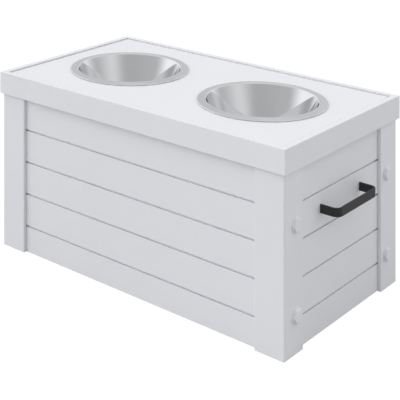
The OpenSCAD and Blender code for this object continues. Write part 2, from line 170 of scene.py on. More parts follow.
# %% Rounded outline
def rounded(corners, radius, steps=4):
    """A counter-clockwise polygon with an arc of the given radius at each corner, and its normals.

    With unit vectors a and b from a corner to its neighbours and h half the angle between them, the
    arc's middle lies r / sin(h) from the corner along a + b, and the arc starts r / tan(h) along a.
    An inward corner gets the same arc, with normals that point to its middle."""
    corner = np.array(corners, float)
    radius = np.broadcast_to(np.asarray(radius, float), len(corner))[:, None]
    a = np.roll(corner, 1, axis=0) - corner
    b = np.roll(corner, -1, axis=0) - corner
    a /= np.linalg.norm(a, axis=1, keepdims=True)
    b /= np.linalg.norm(b, axis=1, keepdims=True)
    half = np.arccos(np.clip((a * b).sum(1, keepdims=True), -1, 1)) / 2
    bisector = (a + b) / np.linalg.norm(a + b, axis=1, keepdims=True)
    middle = corner + bisector * radius / np.sin(half)
    start = corner + a * radius / np.tan(half) - middle
    end = corner + b * radius / np.tan(half) - middle
    first = np.arctan2(start[:, 1], start[:, 0])
    turn = np.arctan2(end[:, 1], end[:, 0]) - first
    turn = (turn + np.pi) % (2 * np.pi) - np.pi
    angle = first[:, None] + turn[:, None] * np.linspace(0, 1, steps + 1)
    spoke = np.stack([np.cos(angle), np.sin(angle)], -1)
    points = middle[:, None] + radius[:, None] * spoke
    normals = spoke * np.sign(turn)[:, None, None]
    return points.reshape(-1, 2), normals.reshape(-1, 2)


# %% [markdown]
# ## An outline carried along a path
# Carrying the outline along a path makes the solid. Where the path ends, the outline steps in by
# r (1 - cos t) over the last r (1 - sin t) of the way, with t from 0 to 90 degrees. That is a quarter
# circle seen from the side, so the ends get the same soft edge as the sides.

# %% Carry
END_LOOPS = 5


def carry(outline, middles, sides, ups, step_in=0.0, lean=0.0):
    """The outline's two axes lie along sides[k] and ups[k] where it passes middles[k].

    Point [k, i] = middle + (outline - step_in * normal) in those axes. Its normal is the outline's
    normal turned by lean[k] towards the path's direction, which is sides x ups."""
    flat, facing = outline
    count = len(middles)
    sides, ups = np.broadcast_to(sides, (count, 3)), np.broadcast_to(ups, (count, 3))
    step_in = np.broadcast_to(step_in, count)[:, None, None]
    lean = np.broadcast_to(lean, count)[:, None, None]
    shape = flat[None] - step_in * facing[None]
    points = middles[:, None] + shape[..., :1] * sides[:, None] + shape[..., 1:] * ups[:, None]
    outward = facing[None, :, :1] * sides[:, None] + facing[None, :, 1:] * ups[:, None]
    normals = np.cos(lean) * outward + np.sin(lean) * np.cross(sides, ups)[:, None]
    around = lengths(np.concatenate([flat, flat[:1]]))
    return skin(points, normals, around, lengths(middles))


def bar(name, outline, start, length, side, up, end_round):
    """A straight bar from start along side x up, whose ends are rounded by end_round."""
    forward = np.cross(side, up)
    t = np.linspace(np.pi / 2, 0, END_LOOPS)
    run = end_round * (1 - np.sin(t))
    along = np.concatenate([run, length - run[::-1]])
    step_in = end_round * (1 - np.cos(t))
    middles = np.asarray(start, float) + along[:, None] * forward
    parts = carry(outline, middles, side, up, np.concatenate([step_in, step_in[::-1]]),
                  np.concatenate([-t, t[::-1]]))
    return as_mesh(name, *parts)


# %% [markdown]
# ## Corner posts
# Each post is a square timber with softened upright edges. Two slots in its inner faces take the ends
# of the boards. The outline is drawn once, in distances inwards from the post's two outer faces, and
# placed in each corner by turning its two axes, so the four posts are mirror images of each other.

# %% Sizes read from the frame
board_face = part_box("front_board_3")[0].y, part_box("right_board_3")[1].x
post_low, post_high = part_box("post_front_right")
POST_W = post_high.x - post_low.x
SETBACK = board_face[0] - post_low.y
BOARD_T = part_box("front_board_3")[1].y - board_face[0]
SLOT_DEPTH = 8.3 * MM
SLOT_PLAY = 0.3 * MM
print(f"posts {POST_W * 1000:.1f} mm square, boards set back {SETBACK * 1000:.1f} mm")

# %% Posts
SLOT_END = SETBACK + BOARD_T + SLOT_PLAY
SLOT_FLOOR = POST_W - SLOT_DEPTH
post_corners = [
    (0, 0), (POST_W, 0), (POST_W, SETBACK), (SLOT_FLOOR, SETBACK), (SLOT_FLOOR, SLOT_END),
    (POST_W, SLOT_END), (POST_W, POST_W), (SLOT_END, POST_W), (SLOT_END, SLOT_FLOOR),
    (SETBACK, SLOT_FLOOR), (SETBACK, POST_W), (0, POST_W),
]
EDGE, TIGHT = 1.5 * MM, 0.4 * MM
post_rounding = [EDGE, EDGE, 2 * TIGHT, TIGHT, TIGHT, TIGHT, EDGE, TIGHT, TIGHT, TIGHT, 2 * TIGHT, EDGE]
post_outline = rounded(post_corners, post_rounding)

painted = []
for fb, sign_y in (("front", -1), ("back", 1)):
    for lr, sign_x in (("left", -1), ("right", 1)):
        node = f"post_{fb}_{lr}"
        inward_x, inward_y = -sign_x * X, -sign_y * Y
        outer = np.array([sign_x * post_high.x, -sign_y * post_low.y, 0])
        if np.cross(inward_x, inward_y)[2] < 0:  # the bar runs downwards, so it starts at the top
            outer = outer + post_high.z * Z
        post = bar(f"corner_{node}", post_outline, outer, post_high.z, inward_x, inward_y, TIGHT)
        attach(post, "chest")
        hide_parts(node)
        painted.append(post)
print("posts:", len(painted), "each with", len(painted[0].data.polygons), "faces")

# %% [markdown]
# ## Boards
# The walls are tongue-and-groove boards. Each dark line on a wall is an open joint between the faces
# of two boards, and the tongue behind it closes the wall. A board's outline stands upright: the first
# axis runs inwards from its face and the second one up. The lowest board has no groove and the highest
# one no tongue, since both are sawn to fit.

# %% Boards
JOINT_GAP, BOARD_BEVEL = 3 * MM, 0.4 * MM
TONGUE_H, TONGUE_T, TONGUE_PLAY = 5 * MM, 4 * MM, 0.2 * MM
SOFT_EDGE, BOARD_END_ROUND = 0.25 * MM, 0.2 * MM
BOARD_COUNT = 5
WALLS = {"front": Y, "back": -Y, "left": X, "right": -X}


def board_outline(low, high, lowest, highest):
    """The board's outline in distances inwards and up: back, tongue, face and groove.

    The face ends half a joint short of the line where two boards meet behind the tongue."""
    middle = BOARD_T / 2
    groove, tongue = TONGUE_T / 2 + TONGUE_PLAY, TONGUE_T / 2
    corners, radii = [(BOARD_T, low), (BOARD_T, high)], [SOFT_EDGE, SOFT_EDGE]
    if highest:
        corners.append((0, high))
        radii.append(SOFT_EDGE)
    else:
        shoulder = high - JOINT_GAP / 2
        corners += [(middle + tongue, high), (middle + tongue, high + TONGUE_H),
                    (middle - tongue, high + TONGUE_H), (middle - tongue, shoulder), (0, shoulder)]
        radii += [SOFT_EDGE] * 4 + [BOARD_BEVEL]
    if lowest:
        corners.append((0, low))
        radii.append(SOFT_EDGE)
    else:
        lip = low + JOINT_GAP / 2
        roof = low + TONGUE_H + TONGUE_PLAY
        corners += [(0, lip), (middle - groove, lip), (middle - groove, roof),
                    (middle + groove, roof), (middle + groove, low)]
        radii += [BOARD_BEVEL] + [SOFT_EDGE] * 4
    return rounded(corners, radii, steps=3)


for wall, inward in WALLS.items():
    for i in range(1, BOARD_COUNT + 1):
        node = f"{wall}_board_{i}"
        low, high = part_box(node)
        top = high.z if i == BOARD_COUNT else high.z - TONGUE_H
        outline = board_outline(low.z, top, i == 1, i == BOARD_COUNT)
        forward = np.cross(inward, Z)
        corner_a, corner_b = np.array(low), np.array(high)
        span = abs(forward @ (corner_b - corner_a))
        face = min(inward @ corner_a, inward @ corner_b) * inward
        board = bar(f"wall_{node}", outline, face - forward * span / 2, span, inward, Z,
                    BOARD_END_ROUND)
        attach(board, "chest")
        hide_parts(node)
        painted.append(board)
print("boards:", len(WALLS) * BOARD_COUNT, f"each {BOARD_T * 1000:.0f} mm thick")

# %% [markdown]
# ## Rim of the lid
# Four rails on edge make the lid's rim, mitred at the corners. The corner itself is a little rounded,
# and that thin upright curve is the brightest line of the lid. So the rail's outer face turns the
# first half of the corner's arc and stops on the mitre, where the next rail's half begins.

# %% Rails
RAIL_ROUND, RAIL_INNER_ROUND = 0.5 * MM, 0.3 * MM
CORNER_ROUND, CREEP = 0.6 * MM, 0.2 * MM


def mitred_rail(name, outer_length, depth, height, inward, outer, low):
    """A rail on edge whose ends turn half the lid's corner and stop on a 45 degree plane.

    With t from 0 to 45 degrees, the outer face's end lies at L/2 - r + r sin t and steps in by
    r (1 - cos t). A point at a share s of the rail's depth goes that share of the way to the mitre's
    inner corner, so the whole end lies on the plane. The inner corner creeps up by a hair, so that no
    face is empty."""
    corners = [(0, 0), (depth, 0), (depth, height), (0, height)]
    flat, facing = rounded(corners, [RAIL_ROUND, RAIL_INNER_ROUND, RAIL_INNER_ROUND, RAIL_ROUND])
    t = np.linspace(0, np.pi / 4, END_LOOPS)
    creep = np.linspace(CREEP, 0, len(t))
    share = flat[None, :, 0] / depth
    outer_end = outer_length / 2 - CORNER_ROUND + CORNER_ROUND * np.sin(t)
    inner_end = outer_length / 2 - depth - creep
    reach_out = (1 - share) * outer_end[:, None] + share * inner_end[:, None]
    step = (1 - share) * (CORNER_ROUND * (1 - np.cos(t)))[:, None]
    forward = np.cross(inward, Z)
    half = (flat[None, :, 0] + step)[..., None] * inward + (flat[None, :, 1] + low)[..., None] * Z
    half = half + outer * inward
    points = np.concatenate([half[::-1] - reach_out[::-1, :, None] * forward,
                             half + reach_out[..., None] * forward])
    turn = np.concatenate([-t[::-1], t])[:, None, None]
    outward = np.clip(facing[:, 0], -1, 0)[None, :, None]
    inner = np.clip(facing[:, 0], 0, 1)[None, :, None]
    normals = (outward * np.cos(turn) + inner) * inward + facing[None, :, 1:] * Z
    normals = normals - outward * np.sin(turn) * forward
    around = lengths(np.concatenate([flat, flat[:1]]))
    along = np.concatenate([-outer_end[::-1], outer_end]) + outer_length / 2
    return as_mesh(name, *skin(points, normals, around, along))


lid_low, lid_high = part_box("lid_rail_front")[0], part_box("lid_rail_back")[1]
lid_length, lid_depth = lid_high.x - lid_low.x, lid_high.y - lid_low.y
RAIL_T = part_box("lid_rail_front")[1].y - lid_low.y
for wall, inward in WALLS.items():
    long_side = wall in ("front", "back")
    rail = mitred_rail(
        f"rim_{wall}", lid_length if long_side else lid_depth, RAIL_T, lid_high.z - lid_low.z,
        inward, -(lid_depth if long_side else lid_length) / 2, lid_low.z)
    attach(rail, "lid")
    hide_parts(f"lid_rail_{wall}")
    painted.append(rail)
print(f"lid {lid_length * 1000:.0f} x {lid_depth * 1000:.0f} mm, rails {RAIL_T * 1000:.0f} mm thick")

# %% [markdown]
# ## Panel with two round holes
# The bowls hang in a panel that lies a little below the rim. Each half of it is a grid between a
# circle and a rectangle: rays run out from the hole's middle and stop at the panel's edge. The rows
# of that grid then go up the hole's wall, out over the top, down the edge and back underneath.

# %% Panel
HOLE_R, HOLE_STEPS = 98 * MM, 128
SOFT = 0.6 * MM
TOUCHING = 0.001 * MM  # points nearer than this are one point
panel_low, panel_high = (np.array(c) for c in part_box("lid_panel"))
bowl_x = (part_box("bowl_right")[0].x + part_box("bowl_right")[1].x) / 2


def panel_half():
    """Points of the right half: rows of loops round the hole, from the hole's foot out and back.

    A ray at angle a meets the half's edge at the smallest of the distances to its four sides. The
    loops' angles include the four corners', so that the corners stay sharp."""
    sides = np.array([panel_high[0] - bowl_x, panel_high[1], bowl_x, panel_high[1]])
    facing = np.radians([0, 90, 180, 270])
    corner = np.arctan2([sides[1], sides[1], -sides[3], -sides[3]],
                        [sides[0], -sides[2], -sides[2], sides[0]]) % (2 * np.pi)
    even = np.linspace(0, 2 * np.pi, HOLE_STEPS, endpoint=False)
    angle = np.sort(np.concatenate([corner, even]))
    spoke = np.column_stack([np.cos(angle), np.sin(angle)])
    towards = np.cos(angle[:, None] - facing)
    flush, inset = np.zeros(4), np.array([SOFT, SOFT, 0, SOFT])
    least = 1e-6  # with a smaller cosine the ray runs along a side, or away from it

    def edge(back):
        gap = np.where(towards > least, (sides - back) / np.maximum(towards, least), np.inf)
        return gap.min(1)[:, None] * spoke

    loops = [(HOLE_R * spoke, panel_low[2]), (HOLE_R * spoke, panel_high[2] - SOFT),
             ((HOLE_R + SOFT) * spoke, panel_high[2]), (edge(inset), panel_high[2]),
             (edge(flush), panel_high[2] - SOFT), (edge(flush), panel_low[2])]
    return np.stack([
        np.column_stack([flat[:, 0] + bowl_x, flat[:, 1], np.full(len(flat), z)]) for flat, z in loops])


def panel(name):
    """The right half and its mirror image, welded along the middle line."""
    half = panel_half()
    rows, cols = half.shape[:2]
    here = np.arange(rows * cols).reshape(rows, cols)
    below, beside = np.roll(here, -1, axis=0), np.roll(here, -1, axis=1)
    corner = np.roll(below, -1, axis=1)
    quads = np.stack([here, below, corner, beside], -1).reshape(-1, 4)
    points = half.reshape(-1, 3)
    seam = (np.abs(points[quads][..., 0]) < TOUCHING / 10).all(1)
    quads = quads[~seam]
    mirrored = points * [-1, 1, 1]
    mesh = bpy.data.meshes.new(name)
    mesh.from_pydata(np.concatenate([points, mirrored]).tolist(), [],
                     np.concatenate([quads, quads[:, ::-1] + len(points)]).tolist())
    made = bpy.data.objects.new(name, mesh)
    bpy.context.scene.collection.objects.link(made)
    weld = made.modifiers.new("weld", "WELD")
    weld.merge_threshold = TOUCHING
    return made


top_panel = panel("bowl_panel")
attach(top_panel, "lid")
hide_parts("lid_panel")
print("panel", np.round((panel_high - panel_low) * 1000, 1), "mm")

# %% [markdown]
# ## Steel bowls
# A bowl is spun from sheet steel, so it is a profile turned about an upright axis. Its middle line is
# drawn first: flat floor, foot radius, leaning wall, lip, sloping rim and a rolled edge. The sheet's
# two faces lie half its thickness to either side of that line.

# %% Bowls
BOWL_R, MOUTH_R, BOWL_DEPTH = 107.1 * MM, 92 * MM, 60 * MM
WALL_LEAN, RIM_SLOPE = np.radians([18.5, 7])
STEEL_T, BEAD_R, FOOT_R, LIP_R = 0.8 * MM, 0.7 * MM, 13 * MM, 2.6 * MM
SEAT, FLOOR_START, ROLL_END = 0.3 * MM, 2 * MM, -140
BOWL_STEPS, BOWL_ROWS = 160, 12


def arc(middle, radius, start, end, steps):
    """Points of an arc and the directions out of its middle, angles in degrees."""
    angle = np.radians(np.linspace(start, end, steps + 1))
    spoke = np.column_stack([np.cos(angle), np.sin(angle)])
    return np.asarray(middle) + radius * spoke, spoke


def bowl_profile():
    """The middle line from the axis out to the rolled edge, as radius and height above the panel,
    with the directions that its outer side faces. The rim is the straight line that touches both the
    lip's arc and the rolled edge's."""
    lean, slope = np.degrees([WALL_LEAN, RIM_SLOPE])
    bead = np.array([BOWL_R - STEEL_T / 2 - BEAD_R, SEAT + STEEL_T / 2 + BEAD_R])
    lip_x = MOUTH_R + STEEL_T / 2 + LIP_R
    rise = (bead[0] - lip_x) * np.tan(RIM_SLOPE) + (BEAD_R - LIP_R) / np.cos(RIM_SLOPE)
    lip = np.array([lip_x, bead[1] + rise])
    wall_top = lip + LIP_R * np.array([-np.cos(WALL_LEAN), np.sin(WALL_LEAN)])
    foot_end = FOOT_R * (1 - np.sin(WALL_LEAN)) - BOWL_DEPTH
    foot = np.array([wall_top[0] - (wall_top[1] - foot_end) * np.tan(WALL_LEAN)
                     - FOOT_R * np.cos(WALL_LEAN), FOOT_R - BOWL_DEPTH])
    foot_line, foot_out = arc(foot, FOOT_R, -90, -lean, BOWL_ROWS)
    lip_line, lip_in = arc(lip, LIP_R, 180 - lean, 90 - slope, 10)
    bead_line, bead_out = arc(bead, BEAD_R, 90 - slope, ROLL_END, 14)
    floor_line = np.column_stack([np.linspace(FLOOR_START, foot[0], BOWL_ROWS, endpoint=False),
                                  np.full(BOWL_ROWS, -BOWL_DEPTH)])
    wall_share = np.linspace(0, 1, BOWL_ROWS + 2)[1:-1, None]
    wall_line = foot_line[-1] + wall_share * (lip_line[0] - foot_line[-1])
    line = np.concatenate([floor_line, foot_line, wall_line, lip_line, bead_line])
    outer = np.concatenate([np.tile([0, -1], (BOWL_ROWS, 1)), foot_out,
                            np.tile(foot_out[-1], (BOWL_ROWS, 1)), -lip_in, -bead_out])
    return line, outer


def turned(profile, facing, centre, steps, first_tip, last_tip):
    """A profile of radius and height turned about the upright line through centre.

    Point [k, i] = centre + radius k in the direction of angle i, at height k. Each tip is the height
    where the surface meets the axis, and the direction that it faces there."""
    angle = np.linspace(0, 2 * np.pi, steps, endpoint=False)
    ring = np.column_stack([np.cos(angle), np.sin(angle), 0 * angle])
    points = centre + profile[:, None, :1] * ring + profile[:, None, 1:] * Z
    normals = facing[:, None, :1] * ring + facing[:, None, 1:] * Z
    around = np.linspace(0, 2 * np.pi * profile[:, 0].max(), steps + 1)
    tips = [(centre + height * Z, way * Z) for height, way in (first_tip, last_tip)]
    return skin(points, normals, around, lengths(profile), tips)


middle_line, outer_side = bowl_profile()
half_sheet = outer_side * STEEL_T / 2
steel_profile = np.concatenate([middle_line + half_sheet, (middle_line - half_sheet)[::-1]])
steel_facing = np.concatenate([outer_side, -outer_side[::-1]])
steel_pieces = []
for lr, sign in (("left", -1), ("right", 1)):
    centre = np.array([sign * bowl_x, 0, panel_high[2]])
    bowl = as_mesh(f"feeding_bowl_{lr}", *turned(
        steel_profile, steel_facing, centre, BOWL_STEPS,
        (-BOWL_DEPTH - STEEL_T / 2, -1), (-BOWL_DEPTH + STEEL_T / 2, 1)))
    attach(bowl, f"{lr}_bowl")
    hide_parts(f"bowl_{lr}")
    steel_pieces.append(bowl)
print(f"bowls: {len(steel_pieces)} of {BOWL_R * 2000:.0f} mm, each with {len(bowl.data.polygons)} faces")

# %% [markdown]
# ## Pull handles
# Each handle is flat bar bent to a U, with its feet on the end wall. The path is the bar's middle
# line seen from above: out, round a quarter circle, along the wall, round again and back. On the right
# end the path is followed backwards, so that the faces of both handles point outwards.

# %% Handles
HANDLE_L, HANDLE_H, HANDLE_T, HANDLE_BEND = 123 * MM, 13.5 * MM, 4 * MM, 12.5 * MM
HANDLE_ROUND = 0.9 * MM
HANDLE_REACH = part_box("handle_right")[1].x - board_face[1]
bar_edges = [(-HANDLE_T / 2, -HANDLE_H / 2), (HANDLE_T / 2, -HANDLE_H / 2),
             (HANDLE_T / 2, HANDLE_H / 2), (-HANDLE_T / 2, HANDLE_H / 2)]
handle_outline = rounded(bar_edges, HANDLE_ROUND, steps=5)


def handle_path(steps=16):
    """Middle line of the bar in distances out from the wall and along it, with the directions that
    its outer side faces: two quarter circles, and a straight foot from each to the wall."""
    radius = HANDLE_BEND - HANDLE_T / 2
    out, wide = HANDLE_REACH - HANDLE_BEND, HANDLE_L / 2 - HANDLE_BEND
    near, near_way = arc((out, -wide), radius, -90, 0, steps)
    far, far_way = arc((out, wide), radius, 0, 90, steps)
    foot = HANDLE_L / 2 - HANDLE_T / 2
    line = np.concatenate([[(0, -foot)], near, far, [(0, foot)]])
    outward = np.concatenate([[(0, -1)], near_way, far_way, [(0, 1)]])
    return line, outward


handles = []
handle_z = (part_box("handle_right")[0].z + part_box("handle_right")[1].z) / 2
for lr, sign in (("left", -1), ("right", 1)):
    line, outward = handle_path()
    out, along = sign * X, Y
    middles = (sign * board_face[1] + sign * line[:, :1]) * X + line[:, 1:] * Y + handle_z * Z
    sides = outward[:, :1] * out + outward[:, 1:] * along
    if sign > 0:
        middles, sides = middles[::-1], sides[::-1]
    handle = as_mesh(f"pull_handle_{lr}", *carry(handle_outline, middles, sides, Z))
    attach(handle, "chest")
    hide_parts(f"handle_{lr}")
    handles.append(handle)
print("handles:", len(handles), "at", round(handle_z * 1000, 1), "mm")

# %% [markdown]
# ## Bolt caps
# A moulded cap hides each bolt head: a thin round flange under a chamfered hexagon. In direction a, a
# hexagon's edge lies its half width / cos(a') from the middle, where a' is the angle to the nearest
# flat's middle. Loops of such edges and of circles, one above the other, make the cap.

# %% Caps
CAP_R, CAP_HALF_FLATS, CAP_H, FLANGE_H = 12 * MM, 9.5 * MM, 5 * MM, 1.6 * MM
CAP_SOFT, CAP_CHAMFER, CAP_FLAT_R = 0.35 * MM, 1.1 * MM, 3 * MM
CORNER_SHARE, CORNER_DROP = 1.06, 0.5 * MM  # how far the chamfer leaves the hexagon's corners standing
CROWN = ((0.55 * MM, 0.08 * MM), (1 * MM, 0))  # in from the flats and down from the top
CAP_HEIGHTS = (56.5 * MM, 189.5 * MM)
CAP_STEPS = 96


def hexagon_edge(angle):
    """Distance from a hexagon's middle to its edge, with a corner at angle 0: the half width divided
    by the cosine of the angle to the nearest flat's middle."""
    to_flat = angle % (np.pi / 3) - np.pi / 6
    return CAP_HALF_FLATS / np.cos(to_flat)


def cap_points(outward, centre):
    """Loops from the flange's foot up over its rim, up the hexagon and in over the top."""
    angle = np.linspace(0, 2 * np.pi, CAP_STEPS, endpoint=False)
    hexagon, circle = hexagon_edge(angle), np.ones(CAP_STEPS)
    soft, hair = CAP_SOFT, 0.3 * CAP_SOFT
    loops = [(CAP_R * circle, 0), (CAP_R * circle, FLANGE_H - soft),
             ((CAP_R - hair) * circle, FLANGE_H - hair), ((CAP_R - soft) * circle, FLANGE_H),
             (hexagon + soft, FLANGE_H), (hexagon + hair, FLANGE_H + hair),
             (hexagon, FLANGE_H + soft), (hexagon, CAP_H - CAP_CHAMFER),
             (np.minimum(hexagon, CORNER_SHARE * CAP_HALF_FLATS), CAP_H - CORNER_DROP),
             *[((CAP_HALF_FLATS - inwards) * circle, CAP_H - down) for inwards, down in CROWN],
             (CAP_FLAT_R * circle, CAP_H)]
    side = np.cross(Z, outward)
    ring = np.cos(angle)[:, None] * side + np.sin(angle)[:, None] * Z
    return np.stack([centre + radius[:, None] * ring + height * outward for radius, height in loops])


def face_normals(points):
    """Normals of a grid of points that is closed in its second direction: the cross product of the
    differences between each point's neighbours in the two directions."""
    down = np.gradient(points, axis=0)
    along = np.roll(points, -1, axis=1) - np.roll(points, 1, axis=1)
    normal = np.cross(along, down)
    return normal / np.linalg.norm(normal, axis=-1, keepdims=True)


cap_parts = []
first = 0
bolt_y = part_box("bolt_caps")[1].y - CAP_R
for sign_x in (-1, 1):
    for sign_y in (-1, 1):
        for height in CAP_HEIGHTS:
            outward = sign_x * X
            centre = np.array([sign_x * post_high.x, sign_y * bolt_y, height])
            grid = cap_points(outward, centre)
            around = np.linspace(0, 2 * np.pi * CAP_R, CAP_STEPS + 1)
            along = lengths(grid[:, 0])
            tips = [(centre, -outward), (centre + CAP_H * outward, outward)]
            part = skin(grid, face_normals(grid), around, along, tips, first)
            cap_parts.append(part)
            first += len(part[0])
cap_faces = [face for part in cap_parts for face in part[1]]
all_points, all_normals, all_uv = (np.concatenate([part[k] for part in cap_parts]) for k in (0, 2, 3))
caps = as_mesh("bolt_cap_set", all_points, cap_faces, all_normals, all_uv)
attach(caps, "chest")
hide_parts("bolt_caps")
print("caps:", len(cap_parts), "with", len(caps.data.polygons), "faces")

# %% [markdown]
# ## Building shader nodes
# A material is a small network. Writing each node with its values and links in one call keeps the
# network readable: a socket among the values means a link, anything else is a number or a colour.

# %% Node helper
def put(tree, kind, values=None, **settings):
    """Adds one node, sets its settings, and fills or links its inputs."""
    made = tree.nodes.new(kind)
    for key, value in settings.items():
        setattr(made, key, value)
    for key, value in (values or {}).items():
        if isinstance(value, bpy.types.NodeSocket):
            tree.links.new(value, made.inputs[key])
        else:
            made.inputs[key].default_value = value
    return made


def new_group(name, inputs, outputs):
    """An empty shader node group with the named sockets: (name, kind, default) and (name, kind)."""
    group = bpy.data.node_groups.new(name, "ShaderNodeTree")
    for label, kind, default in inputs:
        socket = group.interface.new_socket(label, in_out="INPUT", socket_type=kind)
        if default is not None:
            socket.default_value = default
    for label, kind in outputs:
        group.interface.new_socket(label, in_out="OUTPUT", socket_type=kind)
    return group, group.nodes.new("NodeGroupInput"), group.nodes.new("NodeGroupOutput")


FLOAT, COLOUR, VECTOR = "NodeSocketFloat", "NodeSocketColor", "NodeSocketVector"

# %% [markdown]
# ## Satin paint
# The boards are coated in a pale satin paint. Close up, paint isn't perfectly even: it levels with a
# faint orange peel, the board under it prints through as long soft streaks, and its tone drifts a
# little from place to place. The streaks have to follow each board, so the group reads the piece's
# own UV map, whose first number runs along the piece in metres.

# %% Paint group
PEEL_SCALE, DRIFT_SCALE, STREAK_SCALE = 620.0, 9.0, (9, 420, 420)
STREAK_GLOSS, PEEL_HEIGHT = 0.12, 0.5
paint_group, paint_in, paint_out = new_group(
    "paint_texture",
    [("Vector", VECTOR, None), ("Tint", COLOUR, (0.8, 0.8, 0.8, 1)), ("Roughness", FLOAT, 0.4),
     ("Streaks", FLOAT, 1.0), ("Variation", FLOAT, 0.03)],
    [("Color", COLOUR), ("Roughness", FLOAT), ("Height", FLOAT)])
peel = put(paint_group, "ShaderNodeTexNoise",
           {"Vector": paint_in.outputs["Vector"], "Scale": PEEL_SCALE, "Detail": 2.0, "Roughness": 0.5})
stretched = put(paint_group, "ShaderNodeMapping",
                {"Vector": paint_in.outputs["Vector"], "Scale": STREAK_SCALE})
streak = put(paint_group, "ShaderNodeTexNoise",
             {"Vector": stretched.outputs["Vector"], "Scale": 1.0, "Detail": 3.0, "Roughness": 0.6})
drift = put(paint_group, "ShaderNodeTexNoise",
            {"Vector": paint_in.outputs["Vector"], "Scale": DRIFT_SCALE, "Detail": 2.0, "Roughness": 0.5})
shade = put(paint_group, "ShaderNodeMapRange",
            {"Value": drift.outputs["Fac"], "From Min": 0.3, "From Max": 0.7})
faint = put(paint_group, "ShaderNodeMath", {0: paint_in.outputs["Variation"], 1: 0.5},
            operation="MULTIPLY")
shift = put(paint_group, "ShaderNodeMath",
            {0: shade.outputs["Result"], 1: paint_in.outputs["Variation"], 2: 1.0},
            operation="MULTIPLY_ADD")
level = put(paint_group, "ShaderNodeMath", {0: shift.outputs[0], 1: faint.outputs[0]},
            operation="SUBTRACT")
colour = put(paint_group, "ShaderNodeVectorMath",
             {0: paint_in.outputs["Tint"], "Scale": level.outputs[0]}, operation="SCALE")
rough_shift = put(paint_group, "ShaderNodeMath",
                  {0: streak.outputs["Fac"], 1: STREAK_GLOSS, 2: paint_in.outputs["Roughness"]},
                  operation="MULTIPLY_ADD")
streak_part = put(paint_group, "ShaderNodeMath",
                  {0: streak.outputs["Fac"], 1: paint_in.outputs["Streaks"]}, operation="MULTIPLY")
height = put(paint_group, "ShaderNodeMath",
             {0: peel.outputs["Fac"], 1: PEEL_HEIGHT, 2: streak_part.outputs[0]}, operation="MULTIPLY_ADD")
paint_group.links.new(colour.outputs["Vector"], paint_out.inputs["Color"])
paint_group.links.new(rough_shift.outputs[0], paint_out.inputs["Roughness"])
paint_group.links.new(height.outputs[0], paint_out.inputs["Height"])
print("paint group:", len(paint_group.nodes), "nodes")


# %% Paint material
def painted_material(name, tint, roughness, streaks, variation, from_uv, bump_mm):
    """A painted or moulded surface that takes its texture from the paint group."""
    material = bpy.data.materials.new(name)
    material.use_nodes = True
    tree = material.node_tree
    shader = tree.nodes["Principled BSDF"]
    if from_uv:
        place = put(tree, "ShaderNodeUVMap", uv_map="surface").outputs["UV"]
    else:
        place = put(tree, "ShaderNodeTexCoord").outputs["Object"]
    texture = put(tree, "ShaderNodeGroup", node_tree=paint_group)
    tree.links.new(place, texture.inputs["Vector"])
    texture.inputs["Tint"].default_value = (*tint, 1)
    texture.inputs["Roughness"].default_value = roughness
    texture.inputs["Streaks"].default_value = streaks
    texture.inputs["Variation"].default_value = variation
    bump = put(tree, "ShaderNodeBump",
               {"Height": texture.outputs["Height"], "Distance": bump_mm * MM, "Strength": 1.0})
    tree.links.new(texture.outputs["Color"], shader.inputs["Base Color"])
    tree.links.new(texture.outputs["Roughness"], shader.inputs["Roughness"])
    tree.links.new(bump.outputs["Normal"], shader.inputs["Normal"])
    return material


PAINT, INNER_PAINT, POWDER_COAT = (0.794, 0.802, 0.836), (0.72, 0.73, 0.75), (0.012, 0.012, 0.013)
board_paint = painted_material(
    "board_paint", PAINT, roughness=0.36, streaks=0.5, variation=0.02, from_uv=True, bump_mm=0.03)
panel_paint = painted_material(
    "panel_paint", PAINT, roughness=0.36, streaks=0.2, variation=0.02, from_uv=False, bump_mm=0.03)
inner_paint = painted_material(
    "inner_paint", INNER_PAINT, roughness=0.5, streaks=0.6, variation=0.05, from_uv=False, bump_mm=0.05)
cap_plastic = painted_material(
    "cap_plastic", PAINT, roughness=0.34, streaks=0.0, variation=0.02, from_uv=False, bump_mm=0.02)
handle_paint = painted_material(
    "handle_powder_coat", POWDER_COAT, roughness=0.34, streaks=0.0, variation=0.3, from_uv=False,
    bump_mm=0.06)
paints = [board_paint, panel_paint, inner_paint, cap_plastic, handle_paint]
print("paints:", [paint.name for paint in paints])

# %% [markdown]
# ## Steel
# Spun steel carries fine scratches that run round the bowl. They are too fine to see one by one, but
# they spread each reflection a little, more across the scratches than along them. A noise that is
# stretched along the turning direction gives that grain, in roughness and in a very small height.

# %% Steel group
GRAIN_SCALE, GRAIN_GLOSS, CLOUD_SCALE = (5200, 14, 1), 0.04, 22.0
steel_group, steel_in, steel_out = new_group(
    "spun_grain",
    [("Vector", VECTOR, None), ("Tint", COLOUR, (0.7, 0.7, 0.7, 1)), ("Roughness", FLOAT, 0.15)],
    [("Color", COLOUR), ("Roughness", FLOAT), ("Height", FLOAT)])
grain_place = put(steel_group, "ShaderNodeMapping",
                  {"Vector": steel_in.outputs["Vector"], "Scale": GRAIN_SCALE})
grain = put(steel_group, "ShaderNodeTexNoise",
            {"Vector": grain_place.outputs["Vector"], "Scale": 1.0, "Detail": 3.0, "Roughness": 0.6})
cloud = put(steel_group, "ShaderNodeTexNoise",
            {"Vector": steel_in.outputs["Vector"], "Scale": CLOUD_SCALE, "Detail": 2.0})
grain_rough = put(steel_group, "ShaderNodeMath",
                  {0: grain.outputs["Fac"], 1: GRAIN_GLOSS, 2: steel_in.outputs["Roughness"]},
                  operation="MULTIPLY_ADD")
cloud_level = put(steel_group, "ShaderNodeMapRange",
                  {"Value": cloud.outputs["Fac"], "From Min": 0.3, "From Max": 0.7,
                   "To Min": 0.97, "To Max": 1.02})
